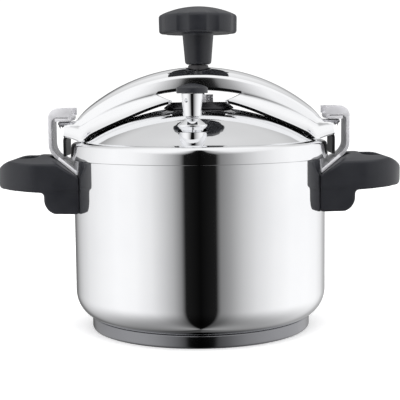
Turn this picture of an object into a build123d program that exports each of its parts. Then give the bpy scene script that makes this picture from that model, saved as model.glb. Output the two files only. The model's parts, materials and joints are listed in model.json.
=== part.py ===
from build123d import *
import os
from math import atan2, cos, radians, sin, sqrt

# A bow-clamped pressure canner, in millimetres.
# Origin: centre of the base's underside. +Z up. +X runs along the side handles.
# The weight valve stands at the front, towards -Y.

# ---- Driving dimensions -------------------------------------------------------------
SHEET = 3.0                # pressed steel of the bow and the hooks
POT_R = 123.0              # outside radius of the pot
POT_WALL = 1.2
POT_RIM_Z = 177.0
POT_FLOOR_Z = 10.0         # underside of the pot's own sheet
CORNER_R = 28.0            # outside radius between floor and wall
BASE_R = 107.5             # heat-spreading base under the pot
BASE_CAP_H = 12.3
BASE_SHEET = 1.2

LID_R = 126.0              # outside radius of the lid's skirt
LID_SHEET = 1.5
SKIRT_Z = 166.3            # lower edge of the skirt
SHOULDER_Z = 182.0         # flat ring between skirt and dome
DOME_FOOT_R = 112.5
DOME_FOOT_Z = 183.4
CROWN_Z = 216.0

VALVE_R_FROM_AXIS = 94.0
VALVE_TURN = -93.5         # degrees from +X
SAFETY_TURN = 90.0
SEAT_Z = 194.3             # flat pressed into the dome for a valve

BOW_TOP_Z = 254.6
BOW_TOP_ARC = 172.0        # radius of the bow's crown line
BOW_EDGE_Z = 232.0         # lower edge of the ridge at the middle
BOW_EDGE_ARC = 217.0
BOW_HALF = 137.0           # half the bow's length, to the tip of its tongue
TONGUE_Z = 199.6           # underside of the flat tongues
TONGUE_HALF = 17.0
WEB_END = 130.0
LIP_Z = 168.8              # lower edge of the lips outside the lid's skirt

HOOK_HALF = 19.0           # half the width of a hook strap
HOOK_OUT = 145.3           # outer face of the strap
HOOK_BEND_Z = 172.5        # where the strap turns in towards the pot
HOOK_FOOT_Z = 160.0        # where it lies on the wall
HOOK_TIP = 123.0           # inner end of the tab
TAB_GAP = 0.3              # between the tongue and the tab above it
HEM_GAP = 0.8

HANDLE_HALF = 48.0
HANDLE_TIP = 196.0
HANDLE_TOP = 170.5
HANDLE_CROWN = 7.2         # how far the top falls from its middle to its sides
BLOCK_Z = 138.8            # top of the narrower block under the grip
GRIP_SLOT = (156.5, 178.0)
GRIP_SLOT_HALF = 26.0
SCREW_Z = 127.0            # height of the handle screws

SCREW_R = 6.0              # clamp screw
RUN = 0.08                 # radial clearance of a running fit
KNOB_R = 38.0
KNOB_Z = (286.3, 303.6, 312.4)   # underside, top of the rim, crown
STEM_R = (12.7, 14.8)
STEM_Z = 256.6
FOOT_R = (34.0, 27.5)      # pressure foot, at its rim and at its top
FOOT_Z = 220.0
COLLAR_FLATS = 24.7        # across the flats of the hexagonal collar
COLLAR_Z = 227.5
PIN_TURN = -30.0
PIN_Z = 224.0

DOME_R = (DOME_FOOT_R ** 2 + (CROWN_Z - DOME_FOOT_Z) ** 2) / (2 * (CROWN_Z - DOME_FOOT_Z))
DOME_CENTRE_Z = CROWN_Z - DOME_R


def at_turn(radius, turn, z):
    """A place at a radius and an angle round the pot's axis."""
    return Pos(radius * cos(radians(turn)), radius * sin(radians(turn)), z)


def tube(r, z0, z1, hole=0.0):
    """A cylinder about Z between two heights, with a hole if one is given."""
    body = Pos(0, 0, z0) * extrude(Circle(r), z1 - z0)
    return body - Pos(0, 0, z0) * extrude(Circle(hole), z1 - z0) if hole else body


def spin(*lines):
    """The solid that a closed outline in the XZ plane sweeps about Z."""
    return revolve(make_face(Wire(list(lines))), Axis.Z)


def outline(*points):
    """A closed polygon in the XZ plane, as a face."""
    return make_face(Polyline(*[(x, 0, z) for x, z in points], close=True))


def spin_points(*points):
    return revolve(outline(*points), Axis.Z)


def slab(face, half):
    """An XZ face thickened by half on each side of Y = 0."""
    return extrude(face, half, both=True)


def hexagon(across, z0, z1):
    return Pos(0, 0, z0) * extrude(RegularPolygon(across / 2, 6, major_radius=False), z1 - z0)


# ---- Pot ----------------------------------------------------------------------------
def pot_shell(wall):
    """The pot's outside, or its inside when wall is its thickness, as one solid."""
    r = POT_R - wall
    corner = CORNER_R - wall
    low = POT_FLOOR_Z + wall
    centre_r = POT_R - CORNER_R
    centre_z = POT_FLOOR_Z + CORNER_R
    diagonal = corner * sin(radians(45))
    top = POT_RIM_Z + wall
    return spin(
        Line((0, 0, low), (centre_r, 0, low)),
        ThreePointArc((centre_r, 0, low), (centre_r + diagonal, 0, centre_z - diagonal), (r, 0, centre_z)),
        Line((r, 0, centre_z), (r, 0, top)),
        Line((r, 0, top), (0, 0, top)),
        Line((0, 0, top), (0, 0, low)),
    )


def make_pot_body():
    pot = pot_shell(0.0) - pot_shell(POT_WALL)
    rim = pot.edges().group_by(Axis.Z)[-1]
    return fillet(rim, POT_WALL * 0.45)


def make_base_cap():
    cap = tube(BASE_R, 0, BASE_CAP_H) - tube(BASE_R - BASE_SHEET, BASE_SHEET, BASE_CAP_H)
    return fillet(cap.edges().group_by(Axis.Z)[0], 2.5)


def make_base_core():
    return tube(BASE_R - BASE_SHEET - 2.0, BASE_SHEET, POT_FLOOR_Z)


# ---- Hooks and handles, made for the +X side ----------------------------------------
def make_hook():
    hem_z = TONGUE_Z + SHEET + TAB_GAP + SHEET / 2
    tab_z = hem_z + SHEET + HEM_GAP
    upright = HOOK_OUT - SHEET / 2
    fold_x = HOOK_TIP + SHEET / 2
    plate_x = POT_R + 0.05 + SHEET / 2
    fold_r = (SHEET + HEM_GAP) / 2 - 0.02
    path = FilletPolyline(
        (upright - 5, 0, hem_z), (fold_x, 0, hem_z), (fold_x, 0, tab_z), (upright, 0, tab_z),
        (upright, 0, HOOK_BEND_Z), (plate_x, 0, HOOK_FOOT_Z), (plate_x, 0, 119.0),
        radius=[fold_r, fold_r, 6.5, 16.0, 6.0],
    )
    section = Rectangle(2 * HOOK_HALF, SHEET)
    strap = sweep(Plane(path @ 0, x_dir=(0, 1, 0), z_dir=path % 0) * section, path)
    rib_top = tab_z + SHEET / 2 + 6.0
    rib_tip = HOOK_TIP - 1.2
    bend = 9.8
    outer = HOOK_OUT
    slope = bend * (1 - sin(radians(45)))
    rib = make_face(Wire([
        Line((rib_tip, 0, tab_z), (rib_tip, 0, rib_top)),
        Line((rib_tip, 0, rib_top), (outer - bend, 0, rib_top)),
        ThreePointArc((outer - bend, 0, rib_top), (outer - slope, 0, rib_top - slope),
                      (outer, 0, rib_top - bend)),
        Line((outer, 0, rib_top - bend), (outer, 0, 195)),
        Line((outer, 0, 195), (upright, 0, 195)),
        Line((upright, 0, 195), (upright, 0, tab_z - 6)),
        Line((upright, 0, tab_z - 6), (upright - 6, 0, tab_z)),
        Line((upright - 6, 0, tab_z), (rib_tip, 0, tab_z)),
    ]))
    thick = 2.5
    for side in (-1, 1):
        strap += Pos(0, side * (HOOK_HALF - thick / 2), 0) * slab(rib, thick / 2)
    return strap + make_wings(upright, plate_x)


def make_wings(upright, plate_x):
    """The sloping part of the strap, spread on both sides to meet the pot's wall."""
    slope = atan2(HOOK_BEND_Z - HOOK_FOOT_Z, upright - plate_x)
    narrow, wide = 9.0, 34.0      # distances down the slope
    spread = 42.0
    corners = [(narrow, -HOOK_HALF), (wide, -spread), (wide, spread), (narrow, HOOK_HALF)]
    flat = make_face(Polyline(*corners, close=True))
    wings = extrude(flat, SHEET / 2, both=True)
    down = Plane((upright, 0, HOOK_BEND_Z), x_dir=(-cos(slope), 0, -sin(slope)),
                 z_dir=(-sin(slope), 0, cos(slope)))
    wings = down * wings
    return wings - tube(POT_R + 0.05, 100, 180)


def make_handle():
    front = make_face(Wire([
        Line((100, 0, 141.9), (138, 0, 166.2)),
        ThreePointArc((138, 0, 166.2), (154, 0, HANDLE_TOP), (171, 0, 168.4)),
        ThreePointArc((171, 0, 168.4), (188, 0, 163.0), (HANDLE_TIP, 0, 156)),
        Line((HANDLE_TIP, 0, 156), (HANDLE_TIP, 0, 145)),
        ThreePointArc((HANDLE_TIP, 0, 145), (193.5, 0, 140.4), (188, 0, 139)),
        Line((188, 0, 139), (150, 0, 136.4)),
        ThreePointArc((150, 0, 136.4), (148, 0, 135.4), (147.3, 0, 133.5)),
        Line((147.3, 0, 133.5), (147.3, 0, 128.5)),
        ThreePointArc((147.3, 0, 128.5), (144.2, 0, 121), (137.5, 0, 116.2)),
        Line((137.5, 0, 116.2), (100, 0, 115.4)),
        Line((100, 0, 115.4), (100, 0, 141.9)),
    ]))
    h = HANDLE_HALF
    plan = make_face(Wire([
        Line((100, -h, 0), (152, -h + 1.5, 0)),
        ThreePointArc((152, -h + 1.5, 0), (185, -33, 0), (HANDLE_TIP, 0, 0)),
        ThreePointArc((HANDLE_TIP, 0, 0), (185, 33, 0), (152, h - 1.5, 0)),
        Line((152, h - 1.5, 0), (100, h, 0)),
        Line((100, h, 0), (100, -h, 0)),
    ]))
    handle = slab(front, h) & extrude(plan, 200)
    crown_r = (h * h + HANDLE_CROWN * HANDLE_CROWN) / (2 * HANDLE_CROWN)
    crown = Pos(90, 0, HANDLE_TOP - crown_r) * Rot(0, 90, 0) * extrude(Circle(crown_r), 120)
    handle &= crown
    handle -= tube(POT_R + 0.05, 100, 180)
    for side in (-1, 1):
        handle -= Pos(125, side * (h + 3.4), BLOCK_Z - 20) * Box(60, 10, 40)
    slot_width = GRIP_SLOT[1] - GRIP_SLOT[0]
    slot = RectangleRounded(slot_width, 2 * GRIP_SLOT_HALF, slot_width / 2 - 0.2)
    handle -= Pos((GRIP_SLOT[0] + GRIP_SLOT[1]) / 2, 0, 130) * extrude(slot, 45)
    handle -= Pos(142.5, 0, 154) * extrude(RectangleRounded(9, 30, 4.3), 20)
    plate_pocket = POT_R + SHEET + 0.6
    handle -= Pos((100 + plate_pocket) / 2, 0, 141) * Box(plate_pocket - 100, 2 * HOOK_HALF + 1, 46)
    handle -= Pos(0, 0, SCREW_Z) * Rot(0, 90, 0) * tube(5.3, 120, 134.2)
    handle -= Pos(0, 0, SCREW_Z) * Rot(0, 90, 0) * tube(3.2, 120, 150)
    handle -= Pos(0, 0, SCREW_Z) * Rot(0, 90, 0) * tube(6.5, 139.0, 160)
    return handle


def lying(r, x0, x1, hole=0.0):
    """A cylinder along X at the height of the handle screws."""
    return Pos(0, 0, SCREW_Z) * Rot(0, 90, 0) * tube(r, x0, x1, hole)


def make_handle_stud():
    plate_face = POT_R + 0.05 + SHEET
    return lying(5.0, plate_face, 134.0) - lying(3.0, 128.0, 134.0)


def make_handle_washer():
    return lying(6.0, 139.0, 140.0, 3.2)


def make_handle_screw():
    head = fillet(lying(5.2, 140.0, 143.4).edges().sort_by(Axis.X)[-1], 1.6)
    cross = Pos(143.4, 0, SCREW_Z) * (Box(3.0, 1.1, 5.6) + Box(3.0, 5.6, 1.1))
    return head + lying(2.95, 129.0, 140.0) - cross


# ---- Lid ----------------------------------------------------------------------------
def under_dome(inset):
    """Everything under the dome's outer face, or under its inner face with an inset."""
    ball = Pos(0, 0, DOME_CENTRE_Z) * Sphere(DOME_R - inset)
    return ball & tube(DOME_FOOT_R + 0.5, 150, CROWN_Z + 10)


def lid_solid(inset):
    r = LID_R - inset
    round_r = 4.5 - inset
    low = SKIRT_Z - inset
    top = SHOULDER_Z - inset
    slope = round_r * (1 - sin(radians(45)))
    ring_r = DOME_FOOT_R + 1.0
    foot_z = DOME_FOOT_Z - 0.2 - inset
    return spin(
        Line((0, 0, low), (r, 0, low)),
        Line((r, 0, low), (r, 0, top - round_r)),
        ThreePointArc((r, 0, top - round_r), (r - slope, 0, top - slope), (r - round_r, 0, top)),
        Line((r - round_r, 0, top), (ring_r, 0, foot_z)),
        Line((ring_r, 0, foot_z), (0, 0, foot_z)),
        Line((0, 0, foot_z), (0, 0, low)),
    )


def valve_seat(turn, pocket, boss):
    """The seat pressed into the dome for a valve: the metal to add and the room to cut."""
    place = at_turn(VALVE_R_FROM_AXIS, turn, 0)
    floor = SEAT_Z - LID_SHEET
    metal = place * tube(pocket + LID_SHEET, floor, CROWN_Z) & under_dome(0)
    metal += place * tube(boss, 185, SEAT_Z) - under_dome(LID_SHEET)
    room = place * tube(pocket, SEAT_Z, CROWN_Z) + place * tube(boss - 1.7, 180, floor)
    return metal, room


def make_lid_shell():
    lid = (lid_solid(0) + under_dome(0)) - (lid_solid(LID_SHEET) + under_dome(LID_SHEET))
    for turn, pocket, boss in ((VALVE_TURN, 13.4, 10.8), (SAFETY_TURN, 9.5, 10.2)):
        metal, room = valve_seat(turn, pocket, boss)
        lid = lid + metal - room
        lid -= at_turn(VALVE_R_FROM_AXIS, turn, 0) * tube(4.6, 150, CROWN_Z)
    return lid


def make_gasket():
    return spin_points(
        (114, 172), (121.2, 172), (121.2, POT_RIM_Z + 0.5), (123.9, POT_RIM_Z + 0.5),
        (123.9, 178.7), (122.6, 180.0), (114, 180.4),
    )


# ---- Weight valve -------------------------------------------------------------------
def at_valve(shape):
    return at_turn(VALVE_R_FROM_AXIS, VALVE_TURN, 0) * shape


def at_safety(shape):
    return at_turn(VALVE_R_FROM_AXIS, SAFETY_TURN, 0) * shape


def make_valve_nut():
    foot = SEAT_Z
    cone = spin_points(
        (4.55, foot), (9, foot), (13.2, foot + 5.6), (13.2, foot + 6.4), (6.6, foot + 12.0),
        (4.55, foot + 12.0))
    return cone & hexagon(25.4, foot - 1, 210) + tube(13.3, foot + 4.6, foot + 6.8)


def make_vent_pipe():
    pipe = tube(4.5, 185.5, 207.0) + tube(5.9, 207.0, 208.0) + tube(3.2, 208.0, 220.0)
    return pipe - tube(1.3, 185.5, 220.0)


def make_lock_nut(across):
    return hexagon(across, SEAT_Z - 7.5, SEAT_Z - 3.4) - tube(4.55, 180, SEAT_Z)


def make_seal(r):
    return tube(r, SEAT_Z - 3.4, SEAT_Z - LID_SHEET, 4.55)


def make_valve_sleeve():
    inner = 3.2 + RUN
    skirt = spin_points((inner, 208.4), (8.1, 208.4), (9.4, 224), (9.6, 228.6), (inner, 228.6))
    well = tube(6.2, 208.4, 214.5)
    port = Pos(-10, 0, 222.4) * Rot(0, 90, 0) * extrude(Circle(1.6), 6.4)
    return skirt - well - Rot(0, 0, 50) * port - Rot(0, 0, 230) * port


def make_valve_needle():
    return spin_points((0, 219.0), (1.1, 221.2), (3.2, 221.2), (3.2, 228.6), (0, 228.6))


def make_valve_cap():
    r, low, top, crown = 14.0, 228.7, 237.4, 3.2
    ball_r = (r * r + crown * crown) / (2 * crown)
    cap = tube(r, low, top) & Pos(0, 0, top - ball_r) * Sphere(ball_r)
    return fillet(cap.edges().filter_by(GeomType.CIRCLE), 0.8)


# ---- Safety valve at the back -------------------------------------------------------
def make_safety_body():
    body = hexagon(14.0, SEAT_Z, 199.0) + tube(6.0, 199.0, 205.0) + tube(4.5, 185.5, SEAT_Z)
    return body - tube(2.0, 185.5, 205.0)


def make_safety_pin():
    stem = tube(2.0 - RUN, 180.4, 206.0)
    return stem + tube(3.4, 205.4, 208.4) + tube(3.6, 180.4, 182.2)


# ---- Bow ----------------------------------------------------------------------------
def arc_drop(radius, x):
    return radius - sqrt(radius * radius - x * x)


def bow_section(x, crown_z, edge_z, web_z, edge_y, web_y):
    """The bow's pressed section at one place along X: ridge, shoulders and flared webs."""
    shoulder_z = edge_z + 0.73 * (crown_z - edge_z)
    shoulder_y = edge_y - 2.6
    t = SHEET

    def side(sign):
        outer = [(shoulder_y, shoulder_z), (edge_y, edge_z), (web_y, web_z)]
        inner = [(web_y - t, web_z), (edge_y - t, edge_z), (shoulder_y - t, shoulder_z - 0.4 * t)]
        return [(x, sign * y, z) for y, z in outer], [(x, sign * y, z) for y, z in inner]

    right_out, right_in = side(1)
    left_out, left_in = side(-1)
    return make_face(Wire([
        ThreePointArc(left_out[0], (x, 0, crown_z), right_out[0]),
        Line(right_out[0], right_out[1]), Line(right_out[1], right_out[2]),
        Line(right_out[2], right_in[0]), Line(right_in[0], right_in[1]), Line(right_in[1], right_in[2]),
        ThreePointArc(right_in[2], (x, 0, crown_z - t), left_in[2]),
        Line(left_in[2], left_in[1]), Line(left_in[1], left_in[0]), Line(left_in[0], left_out[2]),
        Line(left_out[2], left_out[1]), Line(left_out[1], left_out[0]),
    ]))


def make_bow():
    # x, drop of the web below the ridge's edge, half-width of the web
    arched = [(0, 10.5, 25.0), (14, 10.8, 25.5), (27, 11.5, 26.0), (38, 12.8, 26.5), (49, 14.2, 27.0),
              (59, 15.6, 27.5), (69, 16.6, 28.0), (78, 17.0, 28.0), (86, 17.2, 28.0), (93, 17.3, 28.0),
              (100, 17.2, 28.0), (105, 16.9, 28.0), (110, 16.3, 28.0)]
    # x, crown, ridge edge, web edge, half-width of the web
    flattening = [(114.5, 210.2, 199.9, 185.2, 27.8), (118, 205.6, TONGUE_Z, 185.3, 27.6),
                  (120.8, TONGUE_Z + SHEET, TONGUE_Z, 185.6, 27.3),
                  (WEB_END, TONGUE_Z + SHEET, TONGUE_Z, 187.6, 26.0)]
    ridge_y = 19.0
    sections = []
    for x, drop, web_y in arched:
        crown_z = BOW_TOP_Z - arc_drop(BOW_TOP_ARC, x)
        edge_z = BOW_EDGE_Z - arc_drop(BOW_EDGE_ARC, x)
        sections.append(bow_section(x, crown_z, edge_z, edge_z - drop, ridge_y, web_y))
    for x, crown_z, edge_z, web_z, web_y in flattening:
        sections.append(bow_section(x, crown_z, edge_z, web_z, ridge_y, web_y))
    arm = loft(sections, ruled=True)
    tongue = Pos((WEB_END - 4 + BOW_HALF) / 2, 0, TONGUE_Z + SHEET / 2) * Box(
        BOW_HALF - WEB_END + 4, 2 * TONGUE_HALF, SHEET)
    tongue = fillet(tongue.edges().filter_by(Axis.Z).group_by(Axis.X)[-1], 6)
    lip = tube(132.6, LIP_Z, 191.0, 129.8) & Pos(131, 0, 181) * Box(20, 40, 40)
    apron = Pos(127.6, 0, 190) * Box(6.4, 46, 3.0) + Pos(127.6, 0, 194) * Box(3.0, 40, 11.4)
    arm = arm + tongue + lip + (apron & tube(132.6, 180, 205))
    bow = arm + mirror(arm, Plane.YZ)
    window = make_face(Wire([
        Line((-27, 0, 219), (-27, 0, 200)),
        Line((-27, 0, 200), (27, 0, 200)),
        Line((27, 0, 200), (27, 0, 219)),
        Line((27, 0, 219), (41.5, 0, BOW_EDGE_Z - arc_drop(BOW_EDGE_ARC, 41.5))),
        ThreePointArc(
            (41.5, 0, BOW_EDGE_Z - arc_drop(BOW_EDGE_ARC, 41.5)), (0, 0, BOW_EDGE_Z),
            (-41.5, 0, BOW_EDGE_Z - arc_drop(BOW_EDGE_ARC, 41.5))),
        Line((-41.5, 0, BOW_EDGE_Z - arc_drop(BOW_EDGE_ARC, 41.5)), (-27, 0, 219)),
    ]))
    bow -= slab(window, 40)
    return bow - tube(10.0, 230, 270)


def make_bow_nut():
    bush = tube(9.95, 237.0, BOW_TOP_Z + 0.8) + tube(9.4, BOW_TOP_Z + 0.8, BOW_TOP_Z + 1.6)
    return bush - tube(SCREW_R + RUN, 236, 260)


# ---- Clamp screw, foot and knob -----------------------------------------------------
def make_foot():
    rim, top = FOOT_R
    foot = spin_points((0, 210), (rim, 210), (rim, 214.9), (top, FOOT_Z), (0, FOOT_Z))
    foot -= Pos(0, 0, DOME_CENTRE_Z) * Sphere(DOME_R + 0.35)
    return foot - tube(SCREW_R + RUN, 218.0, 230)


def make_collar():
    collar = hexagon(COLLAR_FLATS, FOOT_Z, COLLAR_Z) - tube(SCREW_R + RUN, FOOT_Z - 1, COLLAR_Z + 1)
    return collar - Rot(0, 0, PIN_TURN) * Pos(0, 0, PIN_Z) * Rot(0, 90, 0) * tube(1.5, 6.5, 20)


def make_collar_pin():
    return Rot(0, 0, PIN_TURN) * Pos(0, 0, PIN_Z) * Rot(0, 90, 0) * tube(1.45, 6.5, COLLAR_FLATS / 2 - 1.2)


def make_clamp_screw():
    rod = tube(SCREW_R, 218.4, 296.0)
    return chamfer(rod.edges().group_by(Axis.Z)[0], 1.0)


def make_knob():
    low, rim, top = KNOB_Z
    head = Circle(KNOB_R)
    for n in range(8):
        head -= Rot(0, 0, 45 * n + 22.5) * Pos(KNOB_R + 14.6, 0) * Circle(16.4)
    head = extrude(head, top - low)
    head = Pos(0, 0, low) * head
    cap_r = (KNOB_R ** 2 + (top - rim) ** 2) / (2 * (top - rim))
    head &= Pos(0, 0, top - cap_r) * Sphere(cap_r)
    upright = (Align.CENTER, Align.CENTER, Align.MIN)
    stem = Pos(0, 0, STEM_Z) * Cone(STEM_R[0], STEM_R[1], low - STEM_Z, align=upright)
    stem = fillet(stem.edges().group_by(Axis.Z)[0], 2.5)
    return head + stem - tube(SCREW_R, STEM_Z - 1, 296.0) - hexagon(16.0, 276, 296.0)


def make_knob_insert():
    return hexagon(16.0, 276, 296.0) - tube(SCREW_R, 275, 297)


# ---- Write the pieces ---------------------------------------------------------------
def both_sides(name, shape):
    return {"right_" + name: shape, "left_" + name: mirror(shape, Plane.YZ)}


pieces = {
    "pot_body": make_pot_body(),
    "base_cap": make_base_cap(),
    "base_core": make_base_core(),
    **both_sides("hook", make_hook()),
    **both_sides("handle", make_handle()),
    **both_sides("handle_stud", make_handle_stud()),
    **both_sides("handle_washer", make_handle_washer()),
    **both_sides("handle_screw", make_handle_screw()),
    "lid_shell": make_lid_shell(),
    "lid_gasket": make_gasket(),
    "valve_nut": at_valve(make_valve_nut()),
    "vent_pipe": at_valve(make_vent_pipe()),
    "valve_lock_nut": at_valve(make_lock_nut(15.0)),
    "valve_seal": at_valve(make_seal(8.6)),
    "valve_sleeve": at_valve(make_valve_sleeve()),
    "valve_needle": at_valve(make_valve_needle()),
    "valve_cap": at_valve(make_valve_cap()),
    "safety_valve_body": at_safety(make_safety_body()),
    "safety_valve_nut": at_safety(make_lock_nut(14.0)),
    "safety_valve_seal": at_safety(make_seal(8.0)),
    "safety_pin": at_safety(make_safety_pin()),
    "bow": make_bow(),
    "bow_nut": make_bow_nut(),
    "pressure_foot": make_foot(),
    "foot_collar": make_collar(),
    "collar_pin": make_collar_pin(),
    "clamp_screw": make_clamp_screw(),
    "clamp_knob": make_knob(),
    "knob_insert": make_knob_insert(),
}

os.makedirs("parts", exist_ok=True)
for node, shape in pieces.items():
    export_step(shape, "parts/" + node + ".step")
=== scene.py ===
import json
from math import cos, hypot, pi, radians, sin, sqrt, tan

import bmesh
import bpy
from mathutils import Matrix, Vector


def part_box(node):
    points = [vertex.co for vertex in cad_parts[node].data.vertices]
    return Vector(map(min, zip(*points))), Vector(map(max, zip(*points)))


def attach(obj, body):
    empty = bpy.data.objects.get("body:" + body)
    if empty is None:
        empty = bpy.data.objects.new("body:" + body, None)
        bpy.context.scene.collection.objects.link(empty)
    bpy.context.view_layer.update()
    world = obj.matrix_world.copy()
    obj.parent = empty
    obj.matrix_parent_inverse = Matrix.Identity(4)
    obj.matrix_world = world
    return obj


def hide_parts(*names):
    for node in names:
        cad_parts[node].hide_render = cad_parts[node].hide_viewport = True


# The looks of a bow-clamped pressure canner. Shapes are worked out in millimetres, in the
# frame's own axes, and written to the meshes in metres.
MM = 0.001
UP = Vector((0, 0, 1))

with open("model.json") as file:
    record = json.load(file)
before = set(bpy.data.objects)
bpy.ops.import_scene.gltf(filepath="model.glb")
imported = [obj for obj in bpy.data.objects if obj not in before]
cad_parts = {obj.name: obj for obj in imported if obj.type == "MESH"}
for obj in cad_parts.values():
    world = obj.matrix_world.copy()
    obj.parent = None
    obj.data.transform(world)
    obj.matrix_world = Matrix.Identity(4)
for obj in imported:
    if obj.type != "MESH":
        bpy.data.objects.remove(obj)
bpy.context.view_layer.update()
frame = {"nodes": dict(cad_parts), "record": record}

record = frame["record"]
BODY_OF = {node: body for body, nodes in record["behaviour"]["bodies"].items() for node in nodes}
SLOT_OF = {part["node"]: part["material_slot"] for part in record["subparts"]}


# A node's corners and middle, in millimetres.
def low(node):
    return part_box(node)[0] / MM


def high(node):
    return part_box(node)[1] / MM


def middle(node):
    return (low(node) + high(node)) / 2


# ---- Dimensions, from the frame where it has them -------------------------------------
POT_R = high("pot_body").x
POT_RIM_Z = high("pot_body").z
POT_FLOOR_Z = low("pot_body").z
POT_WALL = 1.2
CORNER_R = 28.0
BASE_R = high("base_cap").x
BASE_H = high("base_cap").z

LID_R = high("lid_shell").x
CROWN_Z = high("lid_shell").z
SKIRT_Z = low("lid_shell").z
LID_SHEET = 1.5
SHOULDER_Z = 182.0
SHOULDER_R = 124.5
DOME_FOOT = (112.5, 183.4)
DOME_R = (DOME_FOOT[0] ** 2 + (CROWN_Z - DOME_FOOT[1]) ** 2) / (2 * (CROWN_Z - DOME_FOOT[1]))
SEAT_Z = low("valve_nut").z
PIPE_HOLE_R = 4.6

BOW_TOP_Z = high("bow").z
BOW_HALF = high("bow").x
SHEET = 3.0
TONGUE_TOP = 202.6
TONGUE_HALF = 17.0
RIDGE_HALF = 19.0
WEB_END = 130.0
LIP_Z = 168.9
WINDOW_HALF = 27.0
WINDOW_CORNER = 41.5

KNOB_R = high("clamp_knob").x
KNOB_TOP = high("clamp_knob").z
STEM_Z = low("clamp_knob").z
SCREW_R = high("clamp_screw").x
THREAD_PITCH = 3.0


# ---- Mesh tools -----------------------------------------------------------------------
def mesh_object(name, points, faces):
    """A mesh object from points in millimetres."""
    mesh = bpy.data.meshes.new(name)
    mesh.from_pydata([Vector(p) * MM for p in points], [], faces)
    mesh.validate()
    piece = bpy.data.objects.new(name, mesh)
    bpy.context.scene.collection.objects.link(piece)
    return piece


def edit(piece, work):
    """Runs work(bm) on the piece's mesh."""
    bm = bmesh.new()
    bm.from_mesh(piece.data)
    work(bm)
    bm.to_mesh(piece.data)
    bm.free()
    piece.data.update()


def shade(piece, sharp=35.0):
    """Smooth shading, with edges sharper than the given angle left crisp."""
    def work(bm):
        bmesh.ops.recalc_face_normals(bm, faces=bm.faces)
        for face in bm.faces:
            face.smooth = True
        for edge in bm.edges:
            edge.smooth = len(edge.link_faces) == 2 and edge.calc_face_angle(0) < radians(sharp)
    edit(piece, work)
    return piece


def modify(piece, kind, **settings):
    """Adds a modifier and applies it at once."""
    modifier = piece.modifiers.new(kind, kind)
    for key, value in settings.items():
        setattr(modifier, key, value)
    bpy.context.view_layer.objects.active = piece
    bpy.ops.object.modifier_apply(modifier=modifier.name)
    return piece


def rounded(corners, steps=6):
    """A 2D outline with its corners rounded. Each corner is (x, z) or (x, z, radius)."""
    outline = []
    count = len(corners)
    for i, corner in enumerate(corners):
        here = Vector(corner[:2])
        radius = corner[2] if len(corner) > 2 else 0.0
        before = Vector(corners[i - 1][:2])
        after = Vector(corners[(i + 1) % count][:2])
        a = (before - here).normalized()
        b = (after - here).normalized()
        turn = pi - a.angle(b)
        if not radius or turn < 1e-3:
            outline.append(tuple(here))
            continue
        reach = radius * tan(turn / 2)
        centre = here + (a + b).normalized() * (radius / cos(turn / 2))
        start, end = here + a * reach - centre, here + b * reach - centre
        for k in range(steps + 1):
            t = k / steps
            arm = (start * sin((1 - t) * turn) + end * sin(t * turn)) / sin(turn)
            outline.append(tuple(centre + arm))
    return outline


def revolve(name, outline, segments=160, at=(0.0, 0.0), shape=None):
    """A closed (r, z) outline turned about a vertical axis. Points with r = 0 become one point."""
    points, rings = [], []
    for r, z in outline:
        if r < 1e-6:
            rings.append([len(points)] * segments)
            points.append((at[0], at[1], z))
            continue
        rings.append(list(range(len(points), len(points) + segments)))
        for k in range(segments):
            turn = 2 * pi * k / segments
            reach = shape(r, z, turn) if shape else r
            points.append((at[0] + reach * cos(turn), at[1] + reach * sin(turn), z))
    faces = []
    for ring, following in zip(rings, rings[1:] + rings[:1]):
        if ring[0] == ring[1] and following[0] == following[1]:
            continue
        for k in range(segments):
            quad = [ring[k], ring[(k + 1) % segments], following[(k + 1) % segments], following[k]]
            faces.append(list(dict.fromkeys(quad)))
    return mesh_object(name, points, faces)


def cylinder(name, r, bottom, top, at=(0.0, 0.0), segments=64):
    return revolve(name, [(0, bottom), (r, bottom), (r, top), (0, top)], segments, at)


def combine(piece, tool, operation):
    """A boolean with another object, which is then removed."""
    for thing in (piece, tool):
        edit(thing, lambda bm: bmesh.ops.recalc_face_normals(bm, faces=bm.faces))
    modify(piece, "BOOLEAN", object=tool, operation=operation, solver="EXACT")
    bpy.data.objects.remove(tool)
    return piece


def interpolate(x, table):
    """A smooth curve through a few (x, value) pairs, flat beyond its ends."""
    if x <= table[0][0]:
        return table[0][1]
    for i in range(len(table) - 1):
        (x0, y0), (x1, y1) = table[i], table[i + 1]
        if x <= x1:
            xa, ya = table[i - 1] if i else table[0]
            xb, yb = table[i + 2] if i + 2 < len(table) else table[-1]
            s0 = (y1 - ya) / (x1 - xa) if i else 0.0
            s1 = (yb - y0) / (xb - x0)
            t = (x - x0) / (x1 - x0)
            h = x1 - x0
            return ((2 * t ** 3 - 3 * t ** 2 + 1) * y0 + (t ** 3 - 2 * t ** 2 + t) * h * s0
                    + (3 * t ** 2 - 2 * t ** 3) * y1 + (t ** 3 - t ** 2) * h * s1)
    return table[-1][1]


def ease(a, b, x):
    """Rises smoothly from 0 at a to 1 at b."""
    t = min(1.0, max(0.0, (x - a) / (b - a)))
    return t * t * (3 - 2 * t)


# ---- Materials ------------------------------------------------------------------------
def new_material(name):
    """A new material with its node tree, its shader and the object's own coordinates."""
    material = bpy.data.materials.new(name)
    material.use_nodes = True
    tree = material.node_tree
    shader = tree.nodes["Principled BSDF"]
    place = tree.nodes.new("ShaderNodeTexCoord").outputs["Object"]
    return material, tree, shader, place


def noise(tree, place, scale, detail=2.0, stretch=(1, 1, 1)):
    """A noise value, finer along an axis by its stretch."""
    mapping = tree.nodes.new("ShaderNodeMapping")
    mapping.inputs["Scale"].default_value = stretch
    tree.links.new(place, mapping.inputs["Vector"])
    texture = tree.nodes.new("ShaderNodeTexNoise")
    texture.inputs["Scale"].default_value = scale
    texture.inputs["Detail"].default_value = detail
    tree.links.new(mapping.outputs["Vector"], texture.inputs["Vector"])
    return texture.outputs["Fac"]


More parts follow.
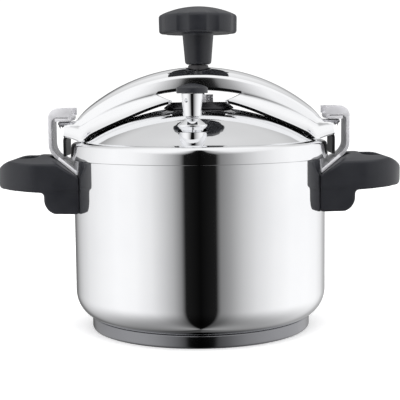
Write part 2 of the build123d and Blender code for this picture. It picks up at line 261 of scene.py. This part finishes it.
def spread(tree, value, least, most, into):
    """Maps a 0.3 to 0.7 noise onto a range of values and links it to a socket."""
    node = tree.nodes.new("ShaderNodeMapRange")
    node.inputs["From Min"].default_value = 0.3
    node.inputs["From Max"].default_value = 0.7
    node.inputs["To Min"].default_value = least
    node.inputs["To Max"].default_value = most
    tree.links.new(value, node.inputs["Value"])
    tree.links.new(node.outputs["Result"], into)


def tint(tree, value, dark, pale, into):
    """Maps a noise onto two colours and links it to a socket."""
    ramp = tree.nodes.new("ShaderNodeValToRGB")
    ramp.color_ramp.elements[0].position = 0.32
    ramp.color_ramp.elements[0].color = (*dark, 1)
    ramp.color_ramp.elements[1].position = 0.68
    ramp.color_ramp.elements[1].color = (*pale, 1)
    tree.links.new(value, ramp.inputs["Fac"])
    tree.links.new(ramp.outputs["Color"], into)


def bump(tree, shader, value, distance, strength=1.0):
    node = tree.nodes.new("ShaderNodeBump")
    node.inputs["Strength"].default_value = strength
    node.inputs["Distance"].default_value = distance
    tree.links.new(value, node.inputs["Height"])
    tree.links.new(node.outputs["Normal"], shader.inputs["Normal"])


def metal(name, dark, pale, smooth, rough, grain, grain_scale=900.0, stretch=(1, 1, 1), metallic=1.0):
    """Steel and the like: broad cloudiness in colour and gloss, with a fine grain in the bump."""
    material, tree, shader, place = new_material(name)
    shader.inputs["Metallic"].default_value = metallic
    fine = noise(tree, place, grain_scale, 3.0, stretch)
    broad = noise(tree, place, 14.0, 4.0)
    tint(tree, broad, dark, pale, shader.inputs["Base Color"])
    spread(tree, broad, smooth, rough, shader.inputs["Roughness"])
    bump(tree, shader, fine, grain)
    return material


def plastic(name, dark, pale, smooth, rough, grain):
    """Moulded plastic or rubber, with the same broad cloudiness and a finer grain."""
    material, tree, shader, place = new_material(name)
    shader.inputs["Specular IOR Level"].default_value = 0.42
    fine = noise(tree, place, 2600.0, 2.0)
    broad = noise(tree, place, 38.0, 5.0)
    tint(tree, broad, dark, pale, shader.inputs["Base Color"])
    spread(tree, broad, smooth, rough, shader.inputs["Roughness"])
    bump(tree, shader, fine, grain)
    return material


# Each row is a finish's darkest and palest colour, its least and most roughness, the depth of its
# grain in metres and, for metals, the grain's scale, its stretch and how metallic the finish is.
METALS = {
    "polished_steel": ((0.865, 0.87, 0.885), (0.90, 0.905, 0.915), 0.035, 0.06, 0.0000015),
    "plain_steel": ((0.58, 0.58, 0.60), (0.68, 0.68, 0.70), 0.16, 0.28, 0.000006, 1400.0),
    "satin_steel": ((0.80, 0.795, 0.83), (0.87, 0.865, 0.89), 0.22, 0.30, 0.000006, 700.0, (1, 1, 6), 0.45),
    # Painted shade: a near-black steel, used only on the bow's end lips, standing in for the shadow they hang
    # in under the bow's ends.
    "blackened_steel": ((0.045, 0.045, 0.05), (0.075, 0.073, 0.075), 0.28, 0.40, 0.000008),
    "aluminium": ((0.70, 0.70, 0.71), (0.78, 0.78, 0.79), 0.25, 0.38, 0.00001),
    "brass": ((0.70, 0.50, 0.22), (0.82, 0.63, 0.33), 0.18, 0.30, 0.000006, 1400.0),
}
PLASTICS = {
    "black_phenolic": ((0.013, 0.014, 0.018), (0.019, 0.020, 0.025), 0.30, 0.40, 0.000012),
    "gasket_rubber": ((0.60, 0.60, 0.58), (0.70, 0.70, 0.68), 0.5, 0.65, 0.00002),
}
MATERIALS = {name: metal(name, *look) for name, look in METALS.items()}
MATERIALS.update({name: plastic(name, *look) for name, look in PLASTICS.items()})
# Painted reflection: the base cup's steel is made dark grey, standing in for the grey surroundings its bright
# surface mirrors below the pot.
painted_reflection_steel = metal("painted_reflection_steel", (0.235, 0.237, 0.25), (0.28, 0.282, 0.295), 0.10, 0.16, 0.000003, 1200.0)


def stand_for(piece, node, material=None):
    """The piece takes the place of a CAD node: its body, its slot and its finish."""
    piece.data.materials.clear()
    piece.data.materials.append(material or MATERIALS[SLOT_OF[node]])
    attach(piece, BODY_OF[node])
    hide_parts(node)
    return piece


def copy_of(node, name):
    piece = bpy.data.objects.new(name, frame["nodes"][node].data.copy())
    bpy.context.scene.collection.objects.link(piece)
    return piece


def break_edges(piece, width, sharp, segments=2):
    """Rounds the edges sharper than the given angle, to a width in millimetres."""
    return modify(piece, "BEVEL", width=width * MM, segments=segments, limit_method="ANGLE",
                  angle_limit=radians(sharp))


def softened(node, edge, segments=2, material=None):
    """A fine copy of a CAD node with its hard edges broken, as turned and pressed pieces have."""
    piece = copy_of(node, node + "_fine")

    def clean(bm):
        bmesh.ops.remove_doubles(bm, verts=bm.verts, dist=0.002 * MM)
        bmesh.ops.dissolve_limit(bm, angle_limit=radians(1.0), verts=bm.verts, edges=bm.edges)
    edit(piece, clean)
    normals = piece.data.attributes.get("custom_normal")
    if normals:
        piece.data.attributes.remove(normals)
    break_edges(piece, edge, 30.0, segments)
    return stand_for(shade(piece, 40.0), node, material)


# ---- Pot ------------------------------------------------------------------------------
def make_pot():
    """The drawn pot, with a rolled rim and a broad rounded corner into its floor."""
    inner = POT_R - POT_WALL
    lip = 0.5
    outline = rounded([
        (0, POT_FLOOR_Z), (POT_R, POT_FLOOR_Z, CORNER_R), (POT_R, POT_RIM_Z, lip), (inner, POT_RIM_Z, lip),
        (inner, POT_FLOOR_Z + POT_WALL, CORNER_R - POT_WALL), (0, POT_FLOOR_Z + POT_WALL),
    ], 14)
    stand_for(shade(revolve("pot_wall", outline, 256)), "pot_body")


def make_base():
    """The cup under the pot, with a rounded foot and a soft upper rim."""
    sheet, foot, rim = 1.2, 2.5, 1.1
    outline = rounded([
        (0, 0), (BASE_R, 0, foot), (BASE_R, BASE_H, rim), (BASE_R - sheet, BASE_H),
        (BASE_R - sheet, sheet, 1.0), (0, sheet),
    ])
    # The cup takes the dark grey steel, a painted reflection of its surroundings.
    stand_for(shade(revolve("base_cup", outline, 256)), "base_cap", painted_reflection_steel)


# ---- Handles --------------------------------------------------------------------------
def make_handle(node):
    """The moulded grip: the CAD solid with every edge rounded as a mould leaves it."""
    piece = copy_of(node, node + "_grip")
    modify(piece, "REMESH", mode="VOXEL", voxel_size=1.1 * MM)
    modify(piece, "SMOOTH", factor=0.5, iterations=9)
    stand_for(shade(piece, 60.0), node)


# ---- Lid ------------------------------------------------------------------------------
def dome_outline():
    """The lid's outer line from the crown to the skirt's lower edge."""
    rings = 56
    flange_bend, shoulder_bend, hem_bend = 3.0, 3.5, 0.9
    line = []
    for k in range(rings + 1):
        r = DOME_FOOT[0] * k / rings
        line.append((r, CROWN_Z - DOME_R + sqrt(DOME_R ** 2 - r * r)))
    corners = [(DOME_FOOT[0] - 4, DOME_FOOT[1] + 2.5), (DOME_FOOT[0] + 1.5, SHOULDER_Z + 0.9, flange_bend),
               (SHOULDER_R, SHOULDER_Z, shoulder_bend), (LID_R, SKIRT_Z, hem_bend),
               (LID_R - LID_SHEET, SKIRT_Z)]
    rim = rounded(corners, 8)
    return [p for p in line if p[0] < DOME_FOOT[0] - 5] + rim[1:-1]


def make_lid():
    """The lid's sheet, offset inwards from its outer line, with a flat seat pressed in for each valve."""
    outer = dome_outline()
    inner = []
    for i, (r, z) in enumerate(outer):
        before = Vector(outer[max(0, i - 1)])
        after = Vector(outer[min(len(outer) - 1, i + 1)])
        along = (after - before).normalized()
        inner.append((max(0.0, r + along.y * LID_SHEET) if r else 0.0, z - along.x * LID_SHEET))
    inner = [p for p in inner if p[1] > SKIRT_Z + 1.5 or p[0] < 100]
    inner.append((LID_R - LID_SHEET, SKIRT_Z + 0.2))
    lid = revolve("lid_dome", outer + inner[::-1], 256)
    # Each valve's seat: a boss up to the seat's height, the dome cut away above it, and a hole.
    for node, pocket_r, boss_r in (("valve_nut", 13.4, 10.8), ("safety_valve_body", 9.5, 10.2)):
        at = middle(node).xy
        combine(lid, cylinder("boss", boss_r, SEAT_Z - 9, SEAT_Z, at), "UNION")
        combine(lid, cylinder("pocket", pocket_r, SEAT_Z, SEAT_Z + 14, at), "DIFFERENCE")
        combine(lid, cylinder("bore", PIPE_HOLE_R, SEAT_Z - 15, SEAT_Z + 5, at, 32), "DIFFERENCE")
    break_edges(lid, 0.35, 40)
    stand_for(shade(lid, 40.0), "lid_shell")


# ---- Bow ------------------------------------------------------------------------------
# Each curve below gives a height or a half-width at a distance x from the bow's middle.
def arc_drop(radius, x):
    return radius - sqrt(radius * radius - x * x)


def bow_crown(x):
    """The ridge's top line: an arc that steepens near the end, down to the flat tongue."""
    late = max(0.0, x - 108.0)
    return max(TONGUE_TOP, BOW_TOP_Z - arc_drop(172.0, min(x, WEB_END)) - 0.017 * late * late)


def bow_edge(x):
    """The ridge's lower line, where the web starts."""
    return max(TONGUE_TOP - SHEET, 232.0 - arc_drop(217.0, min(x, WEB_END)))


def web_drop(x):
    """How far the web hangs below the ridge's lower line."""
    return interpolate(x, [(0, 10.5), (27, 11.5), (49, 14.2), (69, 16.6), (93, 17.3), (110, 16.3),
                           (116, 14.2), (122, 11.9), (WEB_END, 9.8)])


def web_half(x):
    """The web's half-width at its lower edge."""
    return interpolate(x, [(0, 25), (27, 26), (49, 27), (69, 28), (110, 28), (120, 27.3), (WEB_END, 26)])


def ridge_half(x):
    """Half-width of the ridge's edge, drawn in to the rounded tongue at the end."""
    tip = 6.0
    if x <= WEB_END - 4:
        return RIDGE_HALF
    if x <= BOW_HALF - tip:
        return RIDGE_HALF + (TONGUE_HALF - RIDGE_HALF) * ease(WEB_END - 4, WEB_END, x)
    past = x - (BOW_HALF - tip)
    return TONGUE_HALF - (tip - sqrt(max(0.0, tip * tip - past * past)))


def ridge_rows(x):
    """The ridge's outer surface across the bow at one place: crown, rounded shoulder, side."""
    crown, edge, half = bow_crown(x), bow_edge(x), ridge_half(x)
    bend = 2.2
    shoulder_z = edge + 0.73 * (crown - edge)
    shoulder_y = half - 5.0
    flat = ease(3.0, 10.0, crown - edge)
    rows = []
    for k in range(15):
        y = (shoulder_y - bend) * k / 14
        rows.append((y, crown - (crown - shoulder_z) * 0.86 * (y / shoulder_y) ** 2))
    before, corner = rows[-1], (shoulder_y, shoulder_z)
    after = (half - bend, shoulder_z - 2.0 * flat)
    for k in range(1, 8):
        t = k / 8
        rows.append(tuple((1 - t) ** 2 * before[i] + 2 * t * (1 - t) * corner[i] + t * t * after[i]
                          for i in range(2)))
    for k in range(6):
        t = k / 5
        belly = 0.15 * sin(pi * t) * flat
        rows.append((after[0] + (half - after[0]) * t + belly, after[1] + (edge - after[1]) * t))
    return rows


def web_rows(x):
    """The flared web below the ridge's edge, from its top line to its lower edge."""
    edge, half = bow_edge(x), ridge_half(min(x, WEB_END - 4))
    hem = 2.7 * (1 - ease(103.0, 112.0, x))
    bottom = Vector((web_half(x), edge - web_drop(x) + hem))
    top = Vector((half, edge))
    start = 0.0
    if x < WINDOW_CORNER:
        start = (WINDOW_CORNER - x) / (WINDOW_CORNER - WINDOW_HALF)
    rows = []
    steps = 10
    for k in range(steps + 1):
        t = start + (1 - start) * k / steps
        rows.append((top.x + (bottom.x - top.x) * t * t, top.y + (bottom.y - top.y) * t))
    rows += [(bottom.x, bottom.y - max(0.05, hem) * k / 3) for k in range(1, 4)]
    return rows


def bow_stations():
    """The places along the bow where a row of points stands, closer where it turns faster."""
    steps = [1.5 * k for k in range(18)]
    steps += [WINDOW_HALF + (WINDOW_CORNER - WINDOW_HALF) * k / 6 for k in range(7)]
    steps += [WINDOW_CORNER + 3.0 * k for k in range(1, 22)]
    steps += [106.5, 108.5, 110.5, 112, 113.5, 115, 116.5, 118, 119, 120, 120.8, 122, 124, 126, 128, WEB_END]
    steps += [131, 132.5, 134, 135.2, 136.2, 136.8, BOW_HALF]
    return sorted(set(-s for s in steps) | set(steps))


def make_bow():
    """The pressed arch: its outer surface from rows across it, thickened inwards."""
    points, faces = [], []
    last = None
    for x in bow_stations():
        far = abs(x)
        half_rows = ridge_rows(far)
        across = [(-y, z) for y, z in half_rows[:0:-1]] + half_rows
        ridge = list(range(len(points), len(points) + len(across)))
        points += [(x, y, z) for y, z in across]
        webs = {}
        if WINDOW_HALF <= far <= WEB_END:
            for side, shared in ((-1, ridge[0]), (1, ridge[-1])):
                rows = web_rows(far)
                web = list(range(len(points), len(points) + len(rows)))
                points += [(x, side * y, z) for y, z in rows]
                if far >= WINDOW_CORNER:
                    web[0] = shared
                webs[side] = web
        if last:
            last_ridge, last_webs, last_x = last
            strips = [(last_ridge, ridge)]
            if last_x * x > 0:
                strips += [(last_webs[side], webs[side]) for side in webs if side in last_webs]
            for one, two in strips:
                faces += list(zip(one, one[1:], two[1:], two))
        last = (ridge, webs, x)
    bow = mesh_object("bow_arch", points, faces)

    def clean(bm):
        loose = [v for v in bm.verts if not v.link_faces]
        bmesh.ops.delete(bm, geom=loose, context="VERTS")
        bmesh.ops.remove_doubles(bm, verts=bm.verts, dist=0.02 * MM)
        bmesh.ops.recalc_face_normals(bm, faces=bm.faces)
        top = max(bm.faces, key=lambda f: f.calc_center_median().z)
        if top.normal.z < 0:
            bmesh.ops.reverse_faces(bm, faces=bm.faces)
    edit(bow, clean)
    modify(bow, "SOLIDIFY", thickness=SHEET * MM, offset=-1.0, use_even_offset=True)
    combine(bow, cylinder("bore", 10.0, BOW_TOP_Z - 20, BOW_TOP_Z + 8, segments=96), "DIFFERENCE")
    break_edges(bow, 0.45, 50)
    stand_for(shade(bow, 50.0), "bow")
    # The lips take the near-black steel: their colour is painted shade for the dark gap between the bow's
    # ends and the lid.
    for side in (-1, 1):
        lip = stand_for(shade(make_lip(side), 50.0), "bow", MATERIALS["blackened_steel"])


def make_lip(side):
    """The curved lip that hangs from the bow's end outside the lid's skirt."""
    lip_r, lip_top = 131.2, 190.5
    line = rounded([(lip_r, LIP_Z), (lip_r, 188.0, 5.0), (124.0, lip_top, 2.0), (117.0, lip_top)], 5)
    half_turn, rounding = 8.7, 3.0
    columns = 13
    points, faces = [], []
    for j in range(columns):
        lean = 2 * j / (columns - 1) - 1
        for i, (r, z) in enumerate(line):
            turn = radians(half_turn * lean)
            corner = max(0.0, abs(lean) - 0.7) / 0.3 if i == 0 else 0.0
            lift = rounding * (1 - sqrt(max(0.0, 1 - corner ** 2)))
            points.append((side * r * cos(turn), r * sin(turn), z + lift))
    n = len(line)
    for j in range(columns - 1):
        for i in range(n - 1):
            faces.append((j * n + i, j * n + i + 1, (j + 1) * n + i + 1, (j + 1) * n + i))
    lip = mesh_object("lip", points, faces)
    modify(lip, "SOLIDIFY", thickness=2.8 * MM, offset=0.0)
    return break_edges(lip, 0.4, 50)


# ---- Clamp screw, foot and knob ---------------------------------------------------------
def make_screw():
    """The clamp screw, with its thread where it can be seen."""
    depth = 1.0
    bottom, top = low("clamp_screw").z, high("clamp_screw").z
    start, end = bottom + 2.0, BOW_TOP_Z + 6.0
    step = THREAD_PITCH / 10
    rows = int((end - start) / step)
    outline = [(0, bottom), (SCREW_R - 1.2, bottom), (SCREW_R - depth, start - 0.5)]
    outline += [(SCREW_R, start + step * k) for k in range(rows)]
    outline += [(SCREW_R, top), (0, top)]

    def thread(r, z, turn):
        if not start < z < end:
            return r
        phase = (z / THREAD_PITCH - turn / (2 * pi)) % 1.0
        groove = min(1.0, max(0.0, 1.6 - 4.0 * abs(phase - 0.5)))
        runout = ease(start, start + THREAD_PITCH, z) * (1 - ease(end - THREAD_PITCH, end, z))
        return r - depth * groove * runout
    stand_for(shade(revolve("screw_rod", outline, 40, shape=thread), 60.0), "clamp_screw")


def make_knob():
    """The moulded knob: a low dome over eight scallops, and a stem that narrows to the screw."""
    lobes = 8
    scallop_reach, scallop_r = KNOB_R + 14.6, 16.4
    rim_z, under_z, hole_top = 303.6, 286.3, 276.0
    rise = KNOB_TOP - rim_z
    ball = (KNOB_R ** 2 + rise ** 2) / (2 * rise)
    crown = []
    for k in range(25):
        r = (KNOB_R - 4.0) * k / 24
        crown.append((r, KNOB_TOP - ball + sqrt(ball * ball - r * r)))
    side = rounded([
        (KNOB_R - 6, crown[-1][1] + 0.5), (KNOB_R, rim_z, 3.2), (KNOB_R - 0.3, under_z, 2.8),
        (15.2, under_z, 2.5), (12.7, STEM_Z, 3.0), (SCREW_R, STEM_Z), (SCREW_R, hole_top), (0, hole_top),
    ], 6)
    below = []
    for here, there in zip(side[1:], side[2:]):
        below.append(here)
        span = hypot(there[0] - here[0], there[1] - here[1])
        if span > 4:
            count = int(span / 2.5)
            below += [(here[0] + (there[0] - here[0]) * k / count, here[1] + (there[1] - here[1]) * k / count)
                      for k in range(1, count)]
    below.append(side[-1])

    soft = 0.35     # how far from a scallop's edge its corner is rounded

    def lobed(r, z, turn):
        away = (turn * lobes / (2 * pi)) % 1.0 - 0.5
        angle = abs(away) * 2 * pi / lobes
        reach = KNOB_R
        if scallop_reach * sin(angle) < scallop_r:
            cut = scallop_reach * cos(angle) - sqrt(scallop_r ** 2 - (scallop_reach * sin(angle)) ** 2)
            near = max(0.0, soft - abs(KNOB_R - cut))
            reach = min(KNOB_R, cut) - near ** 2 / (4 * soft)
        hold = ease(24.0, 34.0, r)
        return r * (1 - hold * (1 - reach / KNOB_R))
    stand_for(shade(revolve("knob_head", crown + below, 320, shape=lobed), 60.0), "clamp_knob")


def make_foot():
    """The disc that presses on the dome, hollowed to fit it, with a coned edge."""
    top = high("pressure_foot").z
    foot_r = high("pressure_foot").x
    collar_r = high("foot_collar").x
    centre = CROWN_Z - DOME_R
    ball = DOME_R + 0.36
    under = [(r, centre + sqrt(ball * ball - r * r)) for r in (0.0, 8.0, 16.0, 24.0, foot_r - 0.4)]
    rim = under[-1][1]
    edge = rounded([(foot_r - 6, rim + 0.3), (foot_r, rim + 0.05, 0.3), (foot_r, 214.9, 0.6),
                    (27.5, top, 1.2), (collar_r + 1, top - 0.1)])
    socket = top - 1.8
    outline = under[:-1] + edge[1:-1] + [(collar_r, top), (SCREW_R, top), (SCREW_R, socket), (0, socket)]
    stand_for(shade(revolve("foot_disc", outline, 128)), "pressure_foot")


# ---- Weight valve -----------------------------------------------------------------------
def make_valve_cap():
    """The weight's black cap, with a low dome."""
    at = middle("valve_cap").xy
    bottom, top = low("valve_cap").z, high("valve_cap").z
    r = high("valve_cap").x - at.x
    rise = 3.9
    ball = (r * r + rise * rise) / (2 * rise)
    dome = [(r * k / 12, top - ball + sqrt(ball * ball - (r * k / 12) ** 2)) for k in range(12)]
    outline = rounded([(0, bottom), (r, bottom, 0.9), (r, top - rise, 0.9)] + dome[:0:-1] + [(0, top)], 6)
    stand_for(shade(revolve("weight_cap", outline, 96, at)), "valve_cap")


def make_valve_nut():
    """The bright cupped nut that holds the vent pipe."""
    at = middle("valve_nut").xy
    bottom, top = low("valve_nut").z, high("valve_nut").z
    cup_r = 13.2
    outline = rounded([
        (PIPE_HOLE_R, bottom), (8.8, bottom, 0.6), (cup_r - 0.8, bottom + 4.6, 0.8),
        (cup_r, bottom + 5.0, 0.5), (cup_r, bottom + 6.6, 0.6), (7.6, top - 1.2, 2.0),
        (6.6, top, 0.5), (PIPE_HOLE_R, top),
    ], 5)
    stand_for(shade(revolve("cup_nut", outline, 96, at)), "valve_nut")


def make_valve_sleeve():
    """The weight: a polished sleeve with two steam ports near its top."""
    at = middle("valve_sleeve").xy
    bottom, top = low("valve_sleeve").z, high("valve_sleeve").z
    needle_r, pipe_r, roof = 3.28, 6.2, bottom + 6.1     # the needle's hole, and the pipe's room below
    outline = rounded([
        (pipe_r, bottom, 0.3), (8.1, bottom, 0.7), (9.4, top - 4.6, 30), (9.6, top, 0.3),
        (needle_r, top), (needle_r, roof), (pipe_r, roof, 0.5),
    ], 6)
    sleeve = revolve("weight_tube", outline, 128, at)
    port_r, port_z = 1.8, top - 6.2
    for turn in (55, 235):
        port = cylinder("port", port_r, 0.0, 6.4, segments=32)
        facing = radians(turn)
        away = Vector((cos(facing), sin(facing), 0))
        place = Matrix.Translation((Vector((at.x, at.y, port_z)) - away * 10.5) * MM)
        port.data.transform(place @ UP.rotation_difference(away).to_matrix().to_4x4())
        combine(sleeve, port, "DIFFERENCE")
    stand_for(shade(sleeve, 40.0), "valve_sleeve")


# ---- The pieces -------------------------------------------------------------------------
make_pot()
make_base()
make_handle("right_handle")
make_handle("left_handle")
make_lid()
make_bow()
make_screw()
make_knob()
make_foot()
make_valve_cap()
make_valve_nut()
make_valve_sleeve()
for hand in ("right", "left"):
    softened(hand + "_hook", 0.7, segments=3)
    softened(hand + "_handle_screw", 0.25)
for name in ("bow_nut", "vent_pipe", "safety_valve_body", "safety_pin"):
    softened(name, 0.35)
softened("foot_collar", 0.35, material=MATERIALS["satin_steel"])
for node, thing in frame["nodes"].items():
    thing.data.materials.clear()
    thing.data.materials.append(MATERIALS[SLOT_OF[node]])


# ---- Floor, light and camera --------------------------------------------------------------
def make_floor():
    """A pale floor that the steel doesn't mirror, lit a little so that it ends in plain white."""
    reach = 9000
    corners = [(-reach, -reach, 0), (reach, -reach, 0), (reach, reach, 0), (-reach, reach, 0)]
    floor = mesh_object("floor", corners, [(0, 1, 2, 3)])
    paint = plastic("pale_floor", (0.93, 0.93, 0.935), (0.95, 0.95, 0.955), 0.6, 0.7, 0.0)
    shader = paint.node_tree.nodes["Principled BSDF"]
    shader.inputs["Emission Color"].default_value = (1, 1, 1, 1)
    shader.inputs["Emission Strength"].default_value = 0.34
    floor.data.materials.append(paint)
    floor.visible_glossy = False


# Brightness round the studio at eye level: degrees round from the front (-Y) towards +X.
STUDIO = [(-180, 0.20), (-156, 0.20), (-144, 0.52), (-134, 0.70), (-119, 0.87), (-100, 0.99), (-80, 1.07),
          (-60, 1.04), (-44, 0.90), (-32, 0.66), (-24, 0.48), (-16.5, 0.24), (-13, 0.012), (0, 0.003),
          (14, 0.012), (18, 0.23), (27, 0.36), (39, 0.60), (52, 0.80), (70, 0.97), (89, 1.07), (112, 1.08),
          (130, 1.03), (142, 0.86), (153, 0.52), (180, 0.30)]
BACK_SKY, FRONT_SKY = 0.72, 1.06     # overhead, towards the back and towards the front


def make_world():
    """The studio that the steel mirrors: brightness by direction. The camera sees plain white."""
    world = bpy.data.worlds.new("studio")
    world.use_nodes = True
    bpy.context.scene.world = world
    tree = world.node_tree
    tree.nodes.clear()
    node, link = tree.nodes.new, tree.links.new

    def math(operation, a, b=None, clamp=False):
        item = node("ShaderNodeMath")
        item.operation = operation
        item.use_clamp = clamp
        for socket, value in zip(item.inputs, (a, b)):
            if isinstance(value, (int, float)):
                socket.default_value = value
            elif value is not None:
                link(value, socket)
        return item.outputs[0]

    def ramp(value, start, end, low_value, high_value):
        item = node("ShaderNodeMapRange")
        item.interpolation_type = "SMOOTHSTEP"
        names = ("From Min", "From Max", "To Min", "To Max")
        for name, setting in zip(names, (start, end, low_value, high_value)):
            item.inputs[name].default_value = setting
        link(value, item.inputs["Value"])
        return item.outputs["Result"]

    axes = node("ShaderNodeSeparateXYZ")
    link(node("ShaderNodeTexCoord").outputs["Generated"], axes.inputs[0])
    x, y, z = axes.outputs
    azimuth = math("ARCTAN2", x, math("MULTIPLY", y, -1.0))
    # The dark strip in front narrows above eye level, so the lid mirrors less of it than the pot.
    squeeze = ramp(z, sin(radians(9)), sin(radians(16)), 1.0, 6.0)
    turned = math("ABSOLUTE", azimuth)
    narrowed = math("MINIMUM", math("MULTIPLY", turned, squeeze), radians(75))
    turned = math("MAXIMUM", turned, narrowed)
    azimuth = math("MULTIPLY", turned, math("SIGN", azimuth))
    around = node("ShaderNodeValToRGB")
    link(math("ADD", math("DIVIDE", azimuth, 2 * pi), 0.5), around.inputs["Fac"])
    stops = around.color_ramp.elements
    while len(stops) < len(STUDIO):
        stops.new(0.5)
    for stop, (angle, value) in zip(stops, STUDIO):
        stop.position = angle / 360 + 0.5
    for stop, (angle, value) in zip(stops, STUDIO):
        stop.color = (value, value, value * 1.005, 1)
    above = ramp(z, sin(radians(20)), sin(radians(42)), 0.0, 1.0)
    mix = node("ShaderNodeMix")
    mix.data_type = "RGBA"
    link(above, mix.inputs["Factor"])
    link(around.outputs["Color"], mix.inputs["A"])
    over = ramp(math("SUBTRACT", math("MULTIPLY", z, 0.5), y), -0.35, 0.75, BACK_SKY, FRONT_SKY)
    link(over, mix.inputs["B"])
    below = ramp(z, -sin(radians(80)), -sin(radians(16)), 0.28, 1.0)
    dim = node("ShaderNodeMix")
    dim.data_type = "RGBA"
    dim.blend_type = "MULTIPLY"
    dim.inputs["Factor"].default_value = 1.0
    link(mix.outputs["Result"], dim.inputs["A"])
    link(below, dim.inputs["B"])
    studio = node("ShaderNodeBackground")
    link(dim.outputs["Result"], studio.inputs["Color"])
    plain = node("ShaderNodeBackground")
    plain.inputs["Color"].default_value = (1.0, 1.0, 1.0, 1)
    plain.inputs["Strength"].default_value = 1.1
    choose = node("ShaderNodeMixShader")
    link(node("ShaderNodeLightPath").outputs["Is Camera Ray"], choose.inputs["Fac"])
    link(studio.outputs[0], choose.inputs[1])
    link(plain.outputs[0], choose.inputs[2])
    link(choose.outputs[0], node("ShaderNodeOutputWorld").inputs["Surface"])


def make_light(name, place, target, size, power):
    """A soft square light that the steel doesn't mirror."""
    lamp = bpy.data.lights.new(name, "AREA")
    lamp.size = size
    lamp.energy = power
    thing = bpy.data.objects.new(name, lamp)
    thing.location = place
    thing.rotation_euler = (Vector(target) - Vector(place)).to_track_quat("-Z", "Y").to_euler()
    thing.visible_glossy = False
    bpy.context.scene.collection.objects.link(thing)


def make_camera():
    """Places in metres: just over a metre away, a little above the lid, tilted down and slightly rolled."""
    camera = bpy.data.cameras.new("camera")
    camera.lens = 91.4
    camera.sensor_width = 36.0
    thing = bpy.data.objects.new("camera", camera)
    thing.location = (0.0003, -1.0, 0.228)
    pitch, roll = 5.96, -0.62
    thing.rotation_euler = (
        Matrix.Rotation(radians(90 - pitch), 3, "X") @ Matrix.Rotation(radians(roll), 3, "Z")).to_euler()
    bpy.context.scene.collection.objects.link(thing)
    bpy.context.scene.camera = thing


make_floor()
make_world()
make_light("overhead", (0, -0.2, 1.8), (0, 0, 0.1), 2.4, 26.0)
make_camera()
bpy.context.scene.view_settings.view_transform = "Standard"
